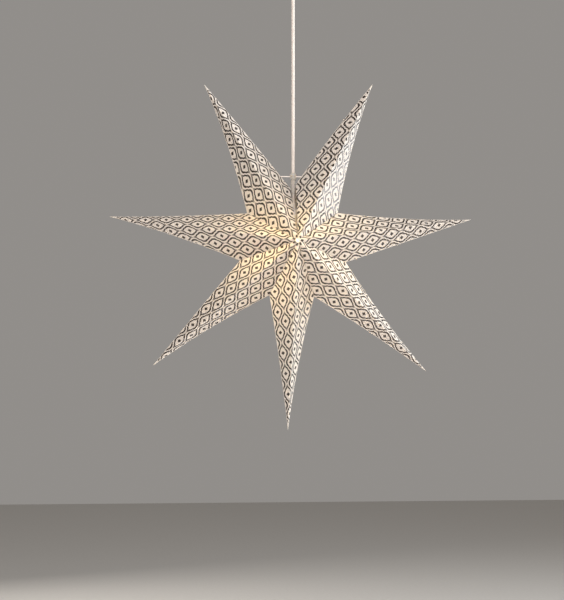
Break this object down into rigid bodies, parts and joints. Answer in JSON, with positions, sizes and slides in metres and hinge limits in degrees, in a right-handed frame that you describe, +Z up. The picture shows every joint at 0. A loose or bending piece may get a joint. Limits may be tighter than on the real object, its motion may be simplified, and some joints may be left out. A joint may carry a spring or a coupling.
{
  "type": "hanging star lantern",
  "caption": "Folding paper star lantern that hangs by its flex from a ceiling cup, lit from inside by a small screw-in bulb.",
  "frame": {"origin": "centre of the ceiling cup's mounting face", "axes": "+Z up towards the ceiling, +Y from the star's front to its back, +X to the right seen from the front"},
  "size_m": [0.602, 0.14, 0.8242],
  "materials": {
    "plate_steel": "satin",
    "cup_plastic": "satin",
    "screw_steel": "polished",
    "terminal_nylon": "matte",
    "brass": "satin",
    "core_brown": "satin",
    "core_blue": "satin",
    "relief_pvc": "matte",
    "flex_pvc": "satin",
    "holder_plastic": "satin",
    "insert_ceramic": "satin",
    "solder": "satin",
    "bulb_metal": "satin",
    "bulb_black_glass": "gloss",
    "bulb_glass": "satin",
    "stem_glass": "gloss",
    "lead_wire": "satin",
    "filament": "satin",
    "clip_clear": "satin",
    "wire_lacquer": "gloss",
    "card_print": "matte",
    "dot_fabric": "matte"
  },
  "bodies": {
    "ceiling": {"ceiling_plate": "plate_steel", "ceiling_cup": "cup_plastic", "cup_screws": "screw_steel", "terminal_block": "terminal_nylon", "terminal_screws": "brass", "live_core": "core_brown", "neutral_core": "core_blue"},
    "relief": {"strain_relief": "relief_pvc", "cord_upper": "flex_pvc"},
    "flex": {"cord": "flex_pvc"},
    "lamp": {"holder_cap": "holder_plastic", "holder_body": "holder_plastic", "shade_ring": "holder_plastic", "holder_insert": "insert_ceramic", "holder_shell": "brass", "centre_contact": "brass", "cord_grip": "holder_plastic", "grip_screws": "screw_steel", "holder_cores": "core_brown"},
    "bulb_feed": {"bulb_tip": "solder"},
    "bulb": {"bulb_base": "bulb_metal", "bulb_insulator": "bulb_black_glass", "bulb_globe": "bulb_glass", "bulb_stem": "stem_glass", "bulb_leads": "lead_wire", "bulb_filament": "filament"},
    "hanger": {"cord_clip": "clip_clear", "hanger_wire": "wire_lacquer", "star_point_4": "card_print"},
    "point_1": {"star_point_1": "card_print", "hook_dots": "dot_fabric"},
    "point_2": {"star_point_2": "card_print"},
    "point_3": {"star_point_3": "card_print"},
    "point_5": {"star_point_5": "card_print"},
    "point_6": {"star_point_6": "card_print"},
    "point_7": {"star_point_7": "card_print", "loop_dots": "dot_fabric"}
  },
  "joints": [
    {"name": "sway_fore_aft", "type": "hinge", "parent": "ceiling", "child": "relief", "pos_m": [0, 0, -0.04453], "axis": [1, 0, 0], "range_deg": [-12, 12]},
    {"name": "sway_sideways", "type": "hinge", "parent": "relief", "child": "flex", "pos_m": [0, 0, -0.086], "axis": [0, 1, 0], "range_deg": [-20, 20]},
    {"name": "turn", "type": "hinge", "parent": "flex", "child": "lamp", "pos_m": [0, 0, -0.466], "axis": [0, 0, 1], "range_deg": [-180, 180]},
    {"name": "bulb_feed", "type": "slide", "parent": "lamp", "child": "bulb_feed", "axis": [0, 0, -1], "range_m": [0, 0.0169]},
    {"name": "bulb_screw", "type": "hinge", "parent": "bulb_feed", "child": "bulb", "pos_m": [0, 0, -0.52], "axis": [0, 0, -1], "range_deg": [0, 2160]},
    {"name": "star_height", "type": "slide", "parent": "lamp", "child": "hanger", "axis": [0, 0, 1], "range_m": [0, 0.015]},
    {"name": "star_fold", "type": "hinge", "parent": "hanger", "child": "point_1", "pos_m": [0, 0, -0.52], "axis": [0, 1, 0], "range_deg": [0, 152.1], "deforming": ["star_point_1", "star_point_4"]},
    {"name": "fold_2", "type": "hinge", "parent": "hanger", "child": "point_2", "pos_m": [0, 0, -0.52], "axis": [0, 1, 0], "range_deg": [0, 98.3], "deforming": ["star_point_2"]},
    {"name": "fold_3", "type": "hinge", "parent": "hanger", "child": "point_3", "pos_m": [0, 0, -0.52], "axis": [0, 1, 0], "range_deg": [0, 47.5], "deforming": ["star_point_3"]},
    {"name": "fold_5", "type": "hinge", "parent": "hanger", "child": "point_5", "pos_m": [0, 0, -0.52], "axis": [0, 1, 0], "range_deg": [-46.2, 0], "deforming": ["star_point_5"]},
    {"name": "fold_6", "type": "hinge", "parent": "hanger", "child": "point_6", "pos_m": [0, 0, -0.52], "axis": [0, 1, 0], "range_deg": [-94.3, 0], "deforming": ["star_point_6"]},
    {"name": "fold_7", "type": "hinge", "parent": "hanger", "child": "point_7", "pos_m": [0, 0, -0.52], "axis": [0, 1, 0], "range_deg": [-145.9, 0], "deforming": ["star_point_7"]}
  ],
  "couplings": [
    {"joint": "bulb_screw", "follows": "bulb_feed", "rad_per_m": 2226.5},
    {"joint": "fold_2", "follows": "star_fold", "ratio": 0.64586},
    {"joint": "fold_3", "follows": "star_fold", "ratio": 0.31167},
    {"joint": "fold_5", "follows": "star_fold", "ratio": -0.30354},
    {"joint": "fold_6", "follows": "star_fold", "ratio": -0.61947},
    {"joint": "fold_7", "follows": "star_fold", "ratio": -0.95898}
  ]
}
